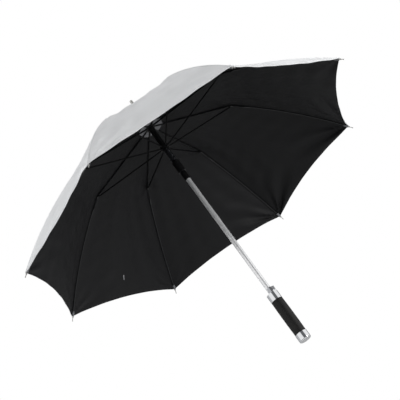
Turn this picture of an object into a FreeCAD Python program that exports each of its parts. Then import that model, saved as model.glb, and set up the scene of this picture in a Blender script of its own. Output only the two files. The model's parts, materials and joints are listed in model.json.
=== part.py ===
"""An eight-rib automatic stick umbrella with a straight grip, open, standing on its handle end.

The shaft is the Z axis, the origin is the centre of the handle's end face, and rib 1 lies over +X.
Every size is in millimetres. Each function below makes one piece, and PIECES lists them all.
Pieces that repeat round the shaft are drawn once, in the XZ plane, and turned to their rib.
"""
import FreeCAD, Part
import math
import os

from FreeCAD import Vector

# ---- driving dimensions -------------------------------------------------------------------------
rib_count = 8
overall_length = 889.0        # handle end to ferrule end
tip_radius = 540.0            # axis to a rib's end, open

shaft_radius = 7.0
shaft_wall = 0.9
shaft_foot = 8.0              # the shaft starts this far above the handle end

crown_pivot_height = overall_length - 112.0
hub_pivot_height = crown_pivot_height - 80.0  # the runner's pivots, open
tip_height = crown_pivot_height - 264.0       # a rib's end, open
pivot_radius = shaft_radius + 6.0  # pivots of ribs and stretchers, from the axis
link_length = 243.0           # crown pivot to joint, and joint to runner pivot
joint_drop = 4.5              # stretcher pivot below the rib's centre line
closed_lean = 3.0             # degrees between a link and the shaft, closed
flex_offset = 5.0             # stretcher joint to the point where the rib bends
outer_turn = 17.6             # degrees the outer rib curves through

rib_width = 3.2
rib_height = 3.6
rib_wall = 0.7
stretcher_width = 3.0
stretcher_height = 3.0
stretcher_wall = 0.7
rod_radius = 1.5
socket_start = 44.0           # along the outer rib, from the bend
socket_length = 14.0
socket_wall = 0.9
tip_cap_length = 10.5
tip_cap_wall = 0.8
tip_pin_radius = 1.1
tip_pin_length = 10.0
pin_radius = 0.6              # flex pins and the wires that the ribs hang on
rivet_radius = 0.8

crown_radius = pivot_radius + 2.0
crown_top = crown_pivot_height + 5.2
crown_roof = 3.0              # solid part of the crown above its slots
crown_skirt_length = 9.7
crown_skirt_radius = shaft_radius + 2.5
stop_sleeve_radius = shaft_radius + 1.25
stop_sleeve_gap = 0.3         # to the runner below, open

runner_tube_radius = shaft_radius + 1.3
hub_radius = pivot_radius + 2.0
hub_half_height = 4.5
hub_neck_radius = runner_tube_radius + 2.1
hub_neck_length = 5.5
slider_radius = runner_tube_radius + 3.0
slider_length = 38.0
catch_radius = runner_tube_radius + 0.5
catch_length = 26.0
catch_end_height = hub_pivot_height - 125.0  # lower end of the runner, open
slider_height = hub_pivot_height - 95.0      # lower end of the slider, open
spring_wire = 0.6             # radius
spring_pitch = 4.0

cap_length = 22.0
cap_floor = 4.0
cap_edge = 3.0
grip_length = 110.0
grip_radius = 17.0
grip_end_radius = 16.4
core_radius = shaft_radius + 4.0
collar_length = 23.0
collar_radius = 16.6
collar_seat = 6.0             # how far the grip core reaches into the collar
nose_length = 16.0
nose_width = 17.0
mouth_depth = 4.8             # the runner's end enters the collar this far, closed
button_azimuth = 58.0         # degrees, which side the button is on
button_width = 9.0
button_height = 10.0
button_proud = 2.4
button_travel = 2.0
stem_radius = 1.5

ferrule_radius = 4.5
ferrule_base_radius = shaft_radius + 1.2
ferrule_base_length = 12.0
ferrule_taper_length = 26.0
top_washer_radius = pivot_radius
top_washer_height = 3.4

cloth = 0.5                   # thickness of the canopy
cloth_lift = 2.8              # canopy's underside above a rib's centre line
rosette_lift = 2.05
rosette_cloth = 0.4
rosette_radius = 40.0
hem_recess = 22.0             # how far the hem is drawn in between two ribs
canopy_hole = shaft_radius + 2.0
gore_gap = 0.2                # half the gap between neighbouring panels
hem_setback = 2.0             # rib's end to the canopy's corner
strap_width = 16.0
strap_length = 110.0
strap_thickness = 0.8
strap_offset = 14.0           # strap's middle from the middle of the gore
strap_from_hem = 70.0

fit = 0.02                    # radial clearance of pieces that are fixed together
slide_gap = 0.2               # radial clearance of pieces that slide on the shaft
swing_gap = 0.3               # clearance beside pieces that swing

# ---- sizes worked out from them -------------------------------------------------------------------
rib_step = 360.0 / rib_count
half_step = math.radians(rib_step / 2)
half_drop = (crown_pivot_height - hub_pivot_height) / 2
joint_point = (pivot_radius + math.sqrt(link_length**2 - half_drop**2), crown_pivot_height - half_drop)
open_lean = math.degrees(math.acos(half_drop / link_length))
rib_lean = open_lean + math.degrees(math.asin(joint_drop / link_length))
fold_turn = open_lean - closed_lean
runner_travel = 2 * link_length * math.cos(math.radians(closed_lean)) - 2 * half_drop
rib_along = (math.sin(math.radians(rib_lean)), -math.cos(math.radians(rib_lean)))
joint_along = math.sqrt(link_length**2 - joint_drop**2)
flex_along = joint_along + flex_offset
rib_half = rib_height / 2
stretcher_half = stretcher_height / 2


def on_rib(along, lift=0.0):
    """A point of the inner rib: along it from the crown pivot, and above its centre line."""
    return (pivot_radius + along * rib_along[0] - lift * rib_along[1],
            crown_pivot_height + along * rib_along[1] + lift * rib_along[0])


flex_point = on_rib(flex_along)
chord = (tip_radius - flex_point[0], tip_height - flex_point[1])
chord_length = math.hypot(*chord)
start_slope = math.degrees(math.atan2(-chord[1], chord[0])) - outer_turn / 2
arc_radius = chord_length / (2 * math.sin(math.radians(outer_turn / 2)))
arc_length = arc_radius * math.radians(outer_turn)
arc_centre = (flex_point[0] - arc_radius * math.sin(math.radians(start_slope)),
              flex_point[1] - arc_radius * math.cos(math.radians(start_slope)))

grip_base = cap_length
collar_base = grip_base + grip_length
nose_base = collar_base + collar_length
nose_top = nose_base + nose_length
button_height_mid = nose_base + nose_length / 2
core_top = collar_base + collar_seat
slot_radius = pivot_radius - rib_half - swing_gap
crown_bottom = crown_pivot_height - rib_half - 0.5
washer_base = crown_top + 0.4 + cloth + 0.4
ferrule_base = washer_base + top_washer_height
shaft_top = ferrule_base + ferrule_base_length - 3.0
hub_bottom = hub_pivot_height - hub_half_height
hub_top = hub_pivot_height + hub_half_height
runner_top = hub_top + 3.0
spring_base = slider_height + slider_length
spring_top = hub_bottom - hub_neck_length
shaft_hole_radius = stem_radius + 0.5


# ---- helpers --------------------------------------------------------------------------------------
def xz(point, y=0.0):
    return Vector(point[0], y, point[1])


def ring(outer, inner, base, top):
    """A round tube on the shaft's axis."""
    body = Part.makeCylinder(outer, top - base, Vector(0, 0, base))
    return body.cut(Part.makeCylinder(inner, top - base, Vector(0, 0, base)))


def turned(profile):
    """A solid of revolution about the shaft's axis from (radius, height) points."""
    wire = Part.makePolygon([xz(p) for p in profile] + [xz(profile[0])])
    return Part.Face(wire).revolve(Vector(0, 0, 0), Vector(0, 0, 1), 360)


def plate(points, width):
    """A flat plate in the XZ plane, as wide as stated along Y."""
    wire = Part.makePolygon([xz(p, -width / 2) for p in points] + [xz(points[0], -width / 2)])
    return Part.Face(wire).extrude(Vector(0, width, 0))


def cross_pin(point, radius, width):
    """A round pin along Y through a point of the XZ plane."""
    return Part.makeCylinder(radius, width, xz(point, -width / 2), Vector(0, 1, 0))


def bar(start, end, low, high, width):
    """A straight bar from start to end, from low to high above its centre line."""
    length = math.dist(start, end)
    ux, uz = (end[0] - start[0]) / length, (end[1] - start[1]) / length
    flip = 1 if ux > 0 else -1
    nx, nz = -uz * flip, ux * flip
    corners = [(start, low), (end, low), (end, high), (start, high)]
    return plate([(p[0] + nx * h, p[1] + nz * h) for p, h in corners], width)


def to_rib(shape, index):
    copy = shape.copy()
    copy.rotate(Vector(0, 0, 0), Vector(0, 0, 1), index * rib_step)
    return copy


def slots(base, top, width):
    """Radial slots for the ends of ribs or stretchers, one below each rib."""
    reach = hub_radius + crown_radius
    cutter = Part.makeBox(reach, width, top - base, Vector(slot_radius, -width / 2, base))
    return Part.makeCompound([to_rib(cutter, i) for i in range(rib_count)])


def arc_frame(along):
    """Position and slope, in degrees below level, on the outer rib."""
    slope = start_slope + math.degrees(along / arc_radius)
    angle = math.radians(slope)
    return (arc_centre[0] + arc_radius * math.sin(angle), arc_centre[1] + arc_radius * math.cos(angle)), slope


def along_arc(face_at_start, start, end):
    """A section drawn at the bend, moved to start and swept along the outer rib to end."""
    centre = Vector(arc_centre[0], 0, arc_centre[1])
    face = face_at_start.copy()
    face.rotate(centre, Vector(0, 1, 0), math.degrees(start / arc_radius))
    return face.revolve(centre, Vector(0, 1, 0), math.degrees((end - start) / arc_radius))


def round_section(radius):
    tangent = Vector(math.cos(math.radians(start_slope)), 0, -math.sin(math.radians(start_slope)))
    return Part.Face(Part.Wire(Part.makeCircle(radius, xz(flex_point), tangent)))


def box_section(low, high, width):
    angle = math.radians(start_slope)
    up = (math.sin(angle), math.cos(angle))
    corners = [(low, -width / 2), (high, -width / 2), (high, width / 2), (low, width / 2)]
    points = [Vector(flex_point[0] + up[0] * h, y, flex_point[1] + up[1] * h) for h, y in corners]
    return Part.Face(Part.makePolygon(points + [points[0]]))


def straight_on_arc(along, extra, radius, length):
    """A round pin along the outer rib's direction at a place on it."""
    point, slope = arc_frame(along)
    direction = Vector(math.cos(math.radians(slope)), 0, -math.sin(math.radians(slope)))
    return Part.makeCylinder(radius, length, xz(point) + direction * extra, direction)


def closed_sheet(under, over, wrap=False):
    """A closed solid between two grids of points, each a list of rows."""
    rows, columns = len(under), len(under[0])
    faces = []

    def quad(a, b, c, d):
        for corners in ((a, b, c), (a, c, d)):
            faces.append(Part.Face(Part.makePolygon(list(corners) + [corners[0]])))

    last = columns if wrap else columns - 1
    for i in range(rows - 1):
        for j in range(last):
            k = (j + 1) % columns
            quad(over[i][j], over[i + 1][j], over[i + 1][k], over[i][k])
            quad(under[i][j], under[i][k], under[i + 1][k], under[i + 1][j])
    for j in range(last):
        k = (j + 1) % columns
        quad(under[0][j], over[0][j], over[0][k], under[0][k])
        quad(under[-1][j], under[-1][k], over[-1][k], over[-1][j])
    if not wrap:
        for i in range(rows - 1):
            quad(under[i][0], under[i + 1][0], over[i + 1][0], over[i][0])
            quad(under[i][-1], over[i][-1], over[i + 1][-1], under[i + 1][-1])
    shell = Part.Shell(faces)
    shell.sewShape()
    solid = Part.Solid(shell)
    if solid.Volume < 0:
        solid.reverse()
    return solid


def helix(radius, wire, pitch, height, base):
    """A round-wire spring on the shaft's axis."""
    path = Part.Wire(Part.makeHelix(pitch, height, radius))
    section = Part.Wire(Part.makeCircle(wire, Vector(radius, 0, 0), Vector(0, 1, 0)))
    coil = path.makePipeShell([section], True, True)
    coil.translate(Vector(0, 0, base))
    return coil


# ---- the canopy's surface ---------------------------------------------------------------------------
def over_rib(along, lift):
    """(radius, height) above the rib's centre line; along is measured from the crown pivot."""
    if along <= flex_along:
        return on_rib(along, lift)
    point, slope = arc_frame(along - flex_along)
    angle = math.radians(slope)
    return point[0] + lift * math.sin(angle), point[1] + lift * math.cos(angle)


def gore_point(radius, height, across, side, gap):
    """A point on the straight line that joins neighbouring ribs at one height.

    across is 0 on the rib and 1 in the middle of the gore, and side is 1 or -1.
    """
    middle = radius * math.cos(half_step)
    half_width = radius * math.sin(half_step)
    aside = gap + (half_width - gap) * (1 - across)
    turn = side * half_step
    x = middle * math.cos(turn) + side * aside * math.sin(turn)
    y = middle * math.sin(turn) - side * aside * math.cos(turn)
    return Vector(x, y, height)


canopy_end = flex_along + arc_length - hem_setback
inner_steps = 4
outer_steps = 9
side_steps = 3


def canopy_rows(lift):
    """(radius, height, share of the hem's recess) from the centre hole to the hem."""
    flat = crown_top + 0.4 + (lift - cloth_lift)
    rows = [(canopy_hole, flat, 0.0), (crown_radius + 1.0, flat, 0.0)]
    for i in range(1, inner_steps + 1):
        along = rosette_radius + (flex_along - rosette_radius) * (i - 1) / (inner_steps - 1)
        rows.append(over_rib(along, lift) + (0.0,))
    return rows


def canopy_grid(lift):
    grid = []
    columns = [side_steps - i for i in range(side_steps)] + [0] + [i + 1 for i in range(side_steps)]
    sides = [-1] * side_steps + [1] * (side_steps + 1)
    for radius, height, _ in canopy_rows(lift):
        grid.append([gore_point(radius, height, c / side_steps, s, gore_gap) for c, s in zip(columns, sides)])
    for i in range(1, outer_steps + 1):
        row = []
        for c, s in zip(columns, sides):
            across = c / side_steps
            reach = (canopy_end - flex_along - hem_recess * (1 - (1 - across)**2)) * i / outer_steps
            radius, height = over_rib(flex_along + reach, lift)
            row.append(gore_point(radius, height, across, s, gore_gap))
        grid.append(row)
    return grid


# ---- pieces on the shaft ----------------------------------------------------------------------------
def to_button(shape):
    copy = shape.copy()
    copy.rotate(Vector(0, 0, 0), Vector(0, 0, 1), button_azimuth)
    return copy


def shaft():
    tube = ring(shaft_radius, shaft_radius - shaft_wall, shaft_foot, shaft_top)
    middle = Vector(0, 0, button_height_mid)
    stem_hole = Part.makeCylinder(shaft_hole_radius, 2 * shaft_radius, middle, Vector(1, 0, 0))
    return tube.cut(to_button(stem_hole))


def grip_core():
    return ring(core_radius, shaft_radius + fit, cap_floor, core_top)


def grip():
    steps = 12
    outer = []
    for i in range(steps + 1):
        swell = math.sin(math.pi * i / steps)
        radius = grip_end_radius + (grip_radius - grip_end_radius) * swell
        outer.append((radius, grip_base + grip_length * i / steps))
    inner = [(core_radius + fit, grip_base + grip_length), (core_radius + fit, grip_base)]
    return turned(outer + inner)


def end_cap():
    body = Part.makeCylinder(grip_radius, cap_length)
    lower_edges = [e for e in body.Edges if abs(e.BoundBox.ZMax) < 1e-6]
    body = body.makeFillet(cap_edge, lower_edges)
    return body.cut(Part.makeCylinder(core_radius + fit, cap_length, Vector(0, 0, cap_floor)))


def collar():
    body = Part.makeCylinder(collar_radius, collar_length, Vector(0, 0, collar_base))
    lobe = Part.makeCylinder(collar_radius, nose_length, Vector(0, 0, nose_base))
    keep = Part.makeBox(2 * collar_radius, nose_width, nose_length, Vector(0, -nose_width / 2, nose_base))
    slope = plate([(0, nose_top), (2 * collar_radius, nose_top), (2 * collar_radius, nose_top - nose_length / 3),
                   (collar_radius, nose_top - 1.0), (shaft_radius + 3, nose_top)], 2 * nose_width)
    body = body.fuse(to_button(lobe.common(keep).cut(slope)))
    body = body.cut(Part.makeCylinder(core_radius + fit, collar_seat, Vector(0, 0, collar_base)))
    body = body.cut(Part.makeCylinder(shaft_radius + fit, collar_length + nose_length, Vector(0, 0, collar_base)))
    mouth = Part.makeCylinder(catch_radius + slide_gap, mouth_depth, Vector(0, 0, nose_top - mouth_depth))
    return body.cut(mouth).cut(to_button(button_pocket()))


def button_pocket():
    width = button_width + 2 * slide_gap
    height = button_height + 2 * slide_gap
    return Part.makeBox(2 * collar_radius, width, height, Vector(0, -width / 2, button_height_mid - height / 2))


button_inner = shaft_radius + button_travel + 2.0
button_outer = collar_radius + button_proud


def button():
    block = Part.makeBox(button_outer - button_inner, button_width, button_height,
                         Vector(button_inner, -button_width / 2, button_height_mid - button_height / 2))
    front = [e for e in block.Edges if e.BoundBox.XMin > button_outer - 1e-6]
    block = block.makeFillet(1.0, front)
    stem_end = shaft_radius - shaft_wall - 0.4
    stem = Part.makeCylinder(stem_radius, button_inner - stem_end + 1.0,
                             Vector(stem_end, 0, button_height_mid), Vector(1, 0, 0))
    return to_button(block.fuse(stem))


def button_spring():
    length = button_inner - shaft_radius - 1.2
    coil = helix(stem_radius + 0.8, 0.25, length / 2, length, 0)
    coil.rotate(Vector(0, 0, 0), Vector(0, 1, 0), 90)
    coil.translate(Vector(shaft_radius + 0.6, 0, button_height_mid))
    return to_button(coil)


def crown():
    slot_top = crown_top - crown_roof
    body = Part.makeCylinder(crown_radius, crown_top - crown_bottom, Vector(0, 0, crown_bottom))
    body = body.cut(slots(crown_bottom, slot_top, rib_width + 2 * swing_gap))
    skirt = Part.makeCylinder(crown_skirt_radius, crown_skirt_length + 1.0,
                              Vector(0, 0, crown_bottom - crown_skirt_length))
    body = body.fuse(skirt)
    body = body.cut(Part.makeCylinder(shaft_radius + fit, overall_length))
    groove = Part.makeTorus(pivot_radius, pin_radius + fit, Vector(0, 0, crown_pivot_height))
    return body.cut(groove)


def crown_wire():
    return Part.makeTorus(pivot_radius, pin_radius, Vector(0, 0, crown_pivot_height))


def stop_sleeve():
    return ring(stop_sleeve_radius, shaft_radius + fit, runner_top + stop_sleeve_gap,
                crown_bottom - crown_skirt_length)


def rosette():
    first, last = crown_radius + 2.0 - pivot_radius, rosette_radius - pivot_radius
    grids = []
    for lift in (rosette_lift, rosette_lift + rosette_cloth):
        grid = []
        for along in (first, last):
            radius, height = over_rib(along, lift)
            row = []
            for i in range(rib_count):
                for across, side in ((0, 1), (1, 1)):
                    point = gore_point(radius, height, across, side, 0.0)
                    turn = FreeCAD.Rotation(Vector(0, 0, 1), i * rib_step)
                    row.append(turn.multVec(point))
            grid.append(row)
        grids.append(grid)
    return closed_sheet(grids[0], grids[1], wrap=True)


def top_washer():
    return turned([(shaft_radius + fit, washer_base), (top_washer_radius, washer_base),
                   (top_washer_radius, washer_base + top_washer_height / 3),
                   (ferrule_base_radius, washer_base + top_washer_height),
                   (shaft_radius + fit, washer_base + top_washer_height)])


def ferrule():
    shoulder = ferrule_base + ferrule_base_length
    waist = shoulder + ferrule_taper_length
    body = turned([(0, ferrule_base), (ferrule_base_radius, ferrule_base), (ferrule_base_radius, shoulder),
                   (ferrule_radius, waist), (ferrule_radius, overall_length - 1.5),
                   (ferrule_radius - 1.5, overall_length), (0, overall_length)])
    return body.cut(Part.makeCylinder(shaft_radius + fit, shaft_top - ferrule_base + 1.0, Vector(0, 0, ferrule_base)))


# ---- the runner -------------------------------------------------------------------------------------
def runner_tube():
    return ring(runner_tube_radius, shaft_radius + slide_gap, catch_end_height, runner_top)


def runner_hub():
    bore = runner_tube_radius + fit
    body = ring(hub_radius, bore, hub_bottom, hub_top)
    body = body.cut(slots(hub_bottom, hub_top, stretcher_width + 2 * swing_gap))
    body = body.fuse(ring(hub_neck_radius, bore, hub_bottom - hub_neck_length, runner_top))
    groove = Part.makeTorus(pivot_radius, pin_radius + fit, Vector(0, 0, hub_pivot_height))
    return body.cut(groove)


def runner_wire():
    """The wire that the stretchers turn on, left out across each slot so that the slots stay free."""
    wire = Part.makeTorus(pivot_radius, pin_radius, Vector(0, 0, hub_pivot_height))
    width = stretcher_width + 2 * swing_gap + 0.2
    return wire.cut(slots(hub_bottom, hub_top, width))


def runner_spring():
    inner = runner_tube_radius + 0.2
    length = spring_top - spring_base - 2 * spring_wire - 0.4
    return helix(inner + spring_wire, spring_wire, spring_pitch, length, spring_base + spring_wire + 0.2)


def slider():
    body = ring(slider_radius, runner_tube_radius + fit, slider_height, slider_height + slider_length)
    for share in (0.3, 0.5, 0.7):
        base = slider_height + share * slider_length - 0.5
        body = body.cut(ring(slider_radius + 1, slider_radius - 0.5, base, base + 1.0))
    return body


def catch_ring():
    return ring(catch_radius, runner_tube_radius + fit, catch_end_height, catch_end_height + catch_length)


# ---- ribs, stretchers and canopy, drawn for rib 1 -----------------------------------------------------
def rib_inner():
    fork_start = flex_along - rib_half - swing_gap
    body = bar(on_rib(0), on_rib(flex_along), -rib_half, rib_half, rib_width)
    body = body.fuse(cross_pin(on_rib(0), rib_half, rib_width))
    body = body.fuse(cross_pin(flex_point, rib_half, rib_width))
    channel = bar(on_rib(4 * rib_half), on_rib(joint_along - 8), -rib_half, rib_half - rib_wall,
                  rib_width - 2 * rib_wall)
    fork = bar(on_rib(fork_start), on_rib(flex_along + rib_height), -rib_height, rib_height, tongue_width + 0.4)
    body = body.cut(channel).cut(fork)
    body = body.cut(cross_pin(on_rib(0), pin_radius + 0.25, rib_width))
    lug_half = rivet_radius + 1.2
    lug = bar(on_rib(joint_along - lug_half), on_rib(joint_along + lug_half), -joint_drop, 0, lug_width)
    lug = lug.fuse(cross_pin(joint_point, lug_half, lug_width))
    rivet = cross_pin(joint_point, rivet_radius, stretcher_width + 1.0)
    for side in (-1, 1):
        offset = side * (stretcher_width / 2 + 0.3)
        rivet = rivet.fuse(Part.makeCylinder(rivet_radius + 0.5, 0.4, xz(joint_point, offset - 0.2), Vector(0, 1, 0)))
    flex_pin = cross_pin(flex_point, pin_radius, rib_width)
    return body.fuse(lug).fuse(rivet).fuse(flex_pin)


tongue_width = rib_width - 2 * rib_wall - 0.4
lug_width = stretcher_width - 2 * stretcher_wall - 0.2
shoulder = rib_half + 0.6
stretcher_eye = stretcher_half + 0.1


def rib_outer():
    """The rib beyond its bend: a channel ending in a socket, and a thin rod held in the socket."""
    tongue = cross_pin(flex_point, rib_half - 0.1, tongue_width)
    neck_half = rib_half - 0.4
    tongue = tongue.fuse(along_arc(box_section(-neck_half, neck_half, tongue_width), 0, shoulder + 3))
    channel = along_arc(box_section(-rib_half, rib_half, rib_width), shoulder, socket_start + 2)
    inside = box_section(-rib_half, rib_half - rib_wall, rib_width - 2 * rib_wall)
    groove = along_arc(inside, shoulder + 4, socket_start - 4)
    rod_start = socket_start + socket_length / 2
    socket = straight_on_arc(socket_start, 0, rod_radius + socket_wall, socket_length)
    socket = socket.cut(straight_on_arc(rod_start, 0, rod_radius + 2 * fit, socket_length))
    holder = channel.cut(groove).fuse(tongue).fuse(socket)
    holder = holder.cut(cross_pin(flex_point, pin_radius + 0.1, rib_width))
    rod = along_arc(round_section(rod_radius), rod_start + fit, arc_length - 1.0)
    return Part.makeCompound([holder, rod])


def rib_tip():
    cap = straight_on_arc(arc_length, -tip_cap_length + 1.5, rod_radius + tip_cap_wall, tip_cap_length)
    pin = straight_on_arc(arc_length, 1.0, tip_pin_radius, tip_pin_length)
    ball = Part.makeSphere(tip_pin_radius + 0.4, pin_end())
    bore = along_arc(round_section(rod_radius + 2 * fit), arc_length - tip_cap_length - 2, arc_length - 0.8)
    return cap.cut(bore).fuse(pin).fuse(ball)


def pin_end():
    point, slope = arc_frame(arc_length)
    direction = Vector(math.cos(math.radians(slope)), 0, -math.sin(math.radians(slope)))
    return xz(point) + direction * (tip_pin_length + 1.0)


def stretcher():
    hub = (pivot_radius, hub_pivot_height)
    length = math.dist(hub, joint_point)
    ux, uz = (joint_point[0] - hub[0]) / length, (joint_point[1] - hub[1]) / length

    def at(along):
        return (hub[0] + ux * along, hub[1] + uz * along)

    body = bar(at(0), at(length), -stretcher_half, stretcher_half, stretcher_width)
    body = body.fuse(cross_pin(hub, stretcher_eye, stretcher_width))
    body = body.fuse(cross_pin(joint_point, stretcher_half, stretcher_width))
    inside = stretcher_width - 2 * stretcher_wall
    fork_depth = rivet_radius + 1.2 + 0.4
    body = body.cut(bar(at(length - fork_depth), at(length + 2 * fork_depth), -joint_drop, joint_drop, lug_width + 0.4))
    body = body.cut(bar(at(8), at(length - 12), -stretcher_half, stretcher_half - stretcher_wall, inside))
    body = body.cut(cross_pin(joint_point, rivet_radius + 0.1, 2 * stretcher_width))
    return body.cut(cross_pin(hub, pin_radius + 0.25, 2 * stretcher_width))


def canopy_panel():
    return closed_sheet(canopy_grid(cloth_lift), canopy_grid(cloth_lift + cloth))


def tie_strap():
    """The closing strap, sewn to the outside of one panel beside the middle of a gore."""
    steps = 6
    grids = []
    for lift in (cloth_lift + cloth + 0.4, cloth_lift + cloth + 0.4 + strap_thickness):
        grid = []
        for i in range(steps + 1):
            along = canopy_end - hem_recess - strap_from_hem - strap_length * (1 - i / steps)
            radius, height = over_rib(along, lift)
            half_width = radius * math.sin(half_step)
            row = []
            for aside in (strap_offset + strap_width / 2, strap_offset - strap_width / 2):
                row.append(gore_point(radius, height, 1 - aside / half_width, -1, 0.0))
            grid.append(row)
        grids.append(grid)
    return closed_sheet(grids[0], grids[1])


# ---- making every piece -------------------------------------------------------------------------------
PIECES = {
    "shaft": shaft, "grip_core": grip_core, "grip": grip, "end_cap": end_cap,
    "collar": collar, "button": button, "button_spring": button_spring, "crown": crown,
    "crown_wire": crown_wire, "stop_sleeve": stop_sleeve, "rosette": rosette, "top_washer": top_washer,
    "ferrule": ferrule, "runner_tube": runner_tube, "runner_hub": runner_hub, "runner_wire": runner_wire,
    "runner_spring": runner_spring, "slider": slider, "catch_ring": catch_ring,
}
REPEATED = {"rib_inner": rib_inner, "rib_outer": rib_outer, "rib_tip": rib_tip, "stretcher": stretcher,
            "canopy": canopy_panel}
strap_rib = 7                 # the strap is on this rib's panel

os.makedirs("parts", exist_ok=True)
for name, make in PIECES.items():
    make().exportStep(f"parts/{name}.step")
to_rib(tie_strap(), strap_rib - 1).exportStep("parts/tie_strap.step")
for name, make in REPEATED.items():
    first = make()
    for index in range(rib_count):
        to_rib(first, index).exportStep(f"parts/{name}_{index + 1}.step")

print("pieces", len(PIECES) + 1 + len(REPEATED) * rib_count)
print("fold", round(fold_turn, 4), "travel", round(runner_travel, 4), "joint", joint_point, "bend", flex_point)
print("outer rib", round(start_slope, 2), round(arc_length, 1))
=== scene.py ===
# %% [markdown]
# An automatic stick umbrella, open: silver-coated cloth on eight ribs, black inside, with a
# straight black grip. The CAD frame holds every hard part in its place. This script adds the
# finishes, and makes the soft pieces: the canopy, the rosette, the corner tabs and the closing strap.

# %% Load the frame
import bpy
import json
import math
import numpy as np
from mathutils import Matrix, Vector


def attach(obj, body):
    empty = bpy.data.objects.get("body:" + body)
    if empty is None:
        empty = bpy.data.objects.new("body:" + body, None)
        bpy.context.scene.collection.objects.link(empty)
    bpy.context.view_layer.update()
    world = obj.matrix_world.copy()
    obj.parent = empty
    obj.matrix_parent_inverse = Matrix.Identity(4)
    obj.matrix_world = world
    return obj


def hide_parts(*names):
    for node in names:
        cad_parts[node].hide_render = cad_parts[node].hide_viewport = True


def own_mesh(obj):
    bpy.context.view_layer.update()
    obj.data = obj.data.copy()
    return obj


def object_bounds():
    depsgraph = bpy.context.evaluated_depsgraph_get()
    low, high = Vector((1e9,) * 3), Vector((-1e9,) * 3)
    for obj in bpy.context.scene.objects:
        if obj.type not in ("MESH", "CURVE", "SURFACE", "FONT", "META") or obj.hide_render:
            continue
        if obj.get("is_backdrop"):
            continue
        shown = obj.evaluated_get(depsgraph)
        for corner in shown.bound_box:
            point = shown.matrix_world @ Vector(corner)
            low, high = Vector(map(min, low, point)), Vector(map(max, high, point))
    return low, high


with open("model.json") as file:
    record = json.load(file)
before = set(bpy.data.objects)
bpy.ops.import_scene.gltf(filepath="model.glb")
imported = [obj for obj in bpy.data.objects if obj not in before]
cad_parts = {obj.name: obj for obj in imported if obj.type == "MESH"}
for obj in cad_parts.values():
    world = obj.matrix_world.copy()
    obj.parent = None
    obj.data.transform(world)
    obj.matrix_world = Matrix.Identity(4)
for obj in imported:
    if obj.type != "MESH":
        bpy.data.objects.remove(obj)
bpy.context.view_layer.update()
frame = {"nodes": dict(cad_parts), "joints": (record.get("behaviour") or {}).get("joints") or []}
joints = {j["name"]: j for j in frame["joints"]}

# %% [markdown]
# A camera with a long lens looks up into the canopy from below the grip, a little to one side,
# and is rolled, because the umbrella leans in the view. The part's own frame stays upright.

# %% Camera
CAMERA_PLACE = Vector((2.617, 0.864, -0.737))
CAMERA_AIM = Vector((0.0024, -0.0071, 0.4996))
CAMERA_ROLL = math.radians(36.17)
CAMERA_LENS = 97.5


def aimed(place, aim, roll=0.0):
    """The matrix of a camera or lamp at place that looks at aim."""
    look = (aim - place).to_track_quat("-Z", "Y").to_matrix()
    return Matrix.Translation(place) @ (look @ Matrix.Rotation(roll, 3, "Z")).to_4x4()


bpy.context.scene.view_settings.view_transform = "Standard"
camera = bpy.data.objects.new("camera", bpy.data.cameras.new("camera"))
camera.data.lens = CAMERA_LENS
camera.matrix_world = aimed(CAMERA_PLACE, CAMERA_AIM, -CAMERA_ROLL)
bpy.context.scene.collection.objects.link(camera)
bpy.context.scene.camera = camera
print("camera", CAMERA_LENS, "mm lens,", round((CAMERA_PLACE - CAMERA_AIM).length, 2), "m away")

# %% [markdown]
# Two helpers serve the whole script. Shader colours are linear light, while the colours people
# pick are sRGB values, so one function converts them. The other adds a node to a tree, sets its
# sockets and joins its links, which keeps each material to a few lines.

# %% Colour and node helpers


def linear(colour):
    """An sRGB hex value as linear red, green, blue and alpha."""
    parts = [int(colour[i:i + 2], 16) / 255 for i in (1, 3, 5)]
    return [c / 12.92 if c <= 0.04045 else ((c + 0.055) / 1.055) ** 2.4 for c in parts] + [1.0]


def add(tree, kind, settings=None, links=None):
    """Adds a node, gives its sockets their values and links, and returns it."""
    node = tree.nodes.new(kind)
    for name, value in (settings or {}).items():
        if isinstance(name, int) or name in node.inputs:
            node.inputs[name].default_value = value
        else:
            setattr(node, name, value)
    for name, source in (links or {}).items():
        tree.links.new(source, node.inputs[name])
    return node


print("white is", linear("#ffffff"))

# %% [markdown]
# A plain white room: large soft sources suit a product that is half chrome and half cloth.
# Chrome needs something dark to mirror, so the room's white walls carry darker upright panels,
# which draw a stripe and a grey edge on every polished tube. The walls are a colour ramp over
# the compass direction, so they cost nothing to render. The backdrop itself stays white.

# %% White room
world = bpy.data.worlds.new("white_room")
bpy.context.scene.world = world
world.use_nodes = True
sky = world.node_tree
sky.nodes.clear()
direction = add(sky, "ShaderNodeTexCoord")
parts = add(sky, "ShaderNodeSeparateXYZ", links={"Vector": direction.outputs["Generated"]})
azimuth = add(sky, "ShaderNodeMath", {"operation": "ARCTAN2"}, {0: parts.outputs["Y"], 1: parts.outputs["X"]})
turn_share = add(sky, "ShaderNodeMapRange", {"From Min": -math.pi, "From Max": math.pi},
                 {"Value": azimuth.outputs[0]})
band = add(sky, "ShaderNodeValToRGB", links={"Fac": turn_share.outputs["Result"]})
ROOM = [(-180, "#6f7072"), (-132, "#6f7072"), (-120, "#bcbdbf"), (-64, "#c4c5c7"), (-54, "#ffffff"),
        (12, "#ffffff"), (20, "#6c6d6f"), (66, "#6c6d6f"), (74, "#ffffff"), (146, "#ffffff"),
        (154, "#6f7072")]  # compass degrees and the wall's colour there
for index, (angle, colour) in enumerate(ROOM):
    stops = band.color_ramp.elements
    stop = stops[index] if index < 2 else stops.new((angle + 180) / 360)
    stop.position = (angle + 180) / 360
    stop.color = linear(colour)
ray = add(sky, "ShaderNodeLightPath")
room = add(sky, "ShaderNodeBackground", {"Strength": 0.96}, {"Color": band.outputs["Color"]})
backdrop = add(sky, "ShaderNodeBackground", {"Strength": 1.0, "Color": linear("#ffffff")})
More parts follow.
